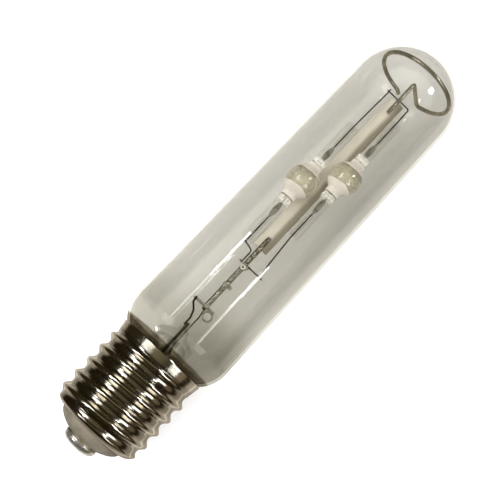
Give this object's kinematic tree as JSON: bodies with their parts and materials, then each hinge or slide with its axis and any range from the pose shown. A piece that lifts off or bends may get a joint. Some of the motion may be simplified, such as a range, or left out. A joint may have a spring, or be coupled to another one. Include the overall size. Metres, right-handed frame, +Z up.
{
  "type": "metal halide lamp",
  "caption": "Clear tubular metal halide lamp with an E40 screw cap and two quartz arc tubes side by side on a wire frame.",
  "frame": {"origin": "centre of the bounding box on the floor, below the lamp's axis", "axes": "+X along the lamp from the cap contact to the dome, +Z up, the bulb rests on Z = 0"},
  "size_m": [0.212, 0.046, 0.046],
  "materials": {
    "bulb_glass": "clear thin glass",
    "stem_glass": "clear pressed glass",
    "cap_nickel": "rolled nickel-plated brass, satin to bright",
    "cap_glass": "warm grey fused insulator",
    "plate_brass": "plain plate",
    "solder": "bright solder dome",
    "cement": "dry cap cement",
    "dark_wire": "oxidised molybdenum wire",
    "bright_wire": "nickel wire",
    "steel_wire": "drawn wire",
    "frame_steel": "drawn rod",
    "strip_steel": "rolled nickel strip",
    "bead_glass": "fused glass bead",
    "quartz": "fused quartz with a yellowish fill",
    "white_coat": "matt off-white coat",
    "foil": "thin molybdenum foil",
    "tungsten": "coiled tungsten"
  },
  "bodies": {
    "root": {"outer_bulb": "bulb_glass", "stem": "stem_glass", "cap_shell": "cap_nickel", "cap_insulator": "cap_glass", "contact_plate": "plate_brass", "contact_solder": "solder", "cap_cement": "cement", "contact_wire": "dark_wire", "shell_wire": "bright_wire", "strap_wire": "dark_wire", "return_wire": "steel_wire", "strap": "strip_steel", "getter_ring": "steel_wire", "rod_clip": "bright_wire", "wire_eye": "bright_wire", "frame_rod": "frame_steel", "frame_strip": "strip_steel", "ring_support": "frame_steel", "low_cross_wire": "dark_wire", "insulating_bead": "bead_glass", "link_wire": "dark_wire", "arc_tube_a": "quartz", "arc_tube_b": "quartz", "end_coats_a": "white_coat", "end_coats_b": "white_coat", "foils_a": "foil", "foils_b": "foil", "electrodes_a": "tungsten", "electrodes_b": "tungsten", "base_lead_a": "dark_wire", "base_lead_b": "dark_wire", "dome_lead_a": "dark_wire", "dome_lead_b": "dark_wire"}
  },
  "joints": []
}
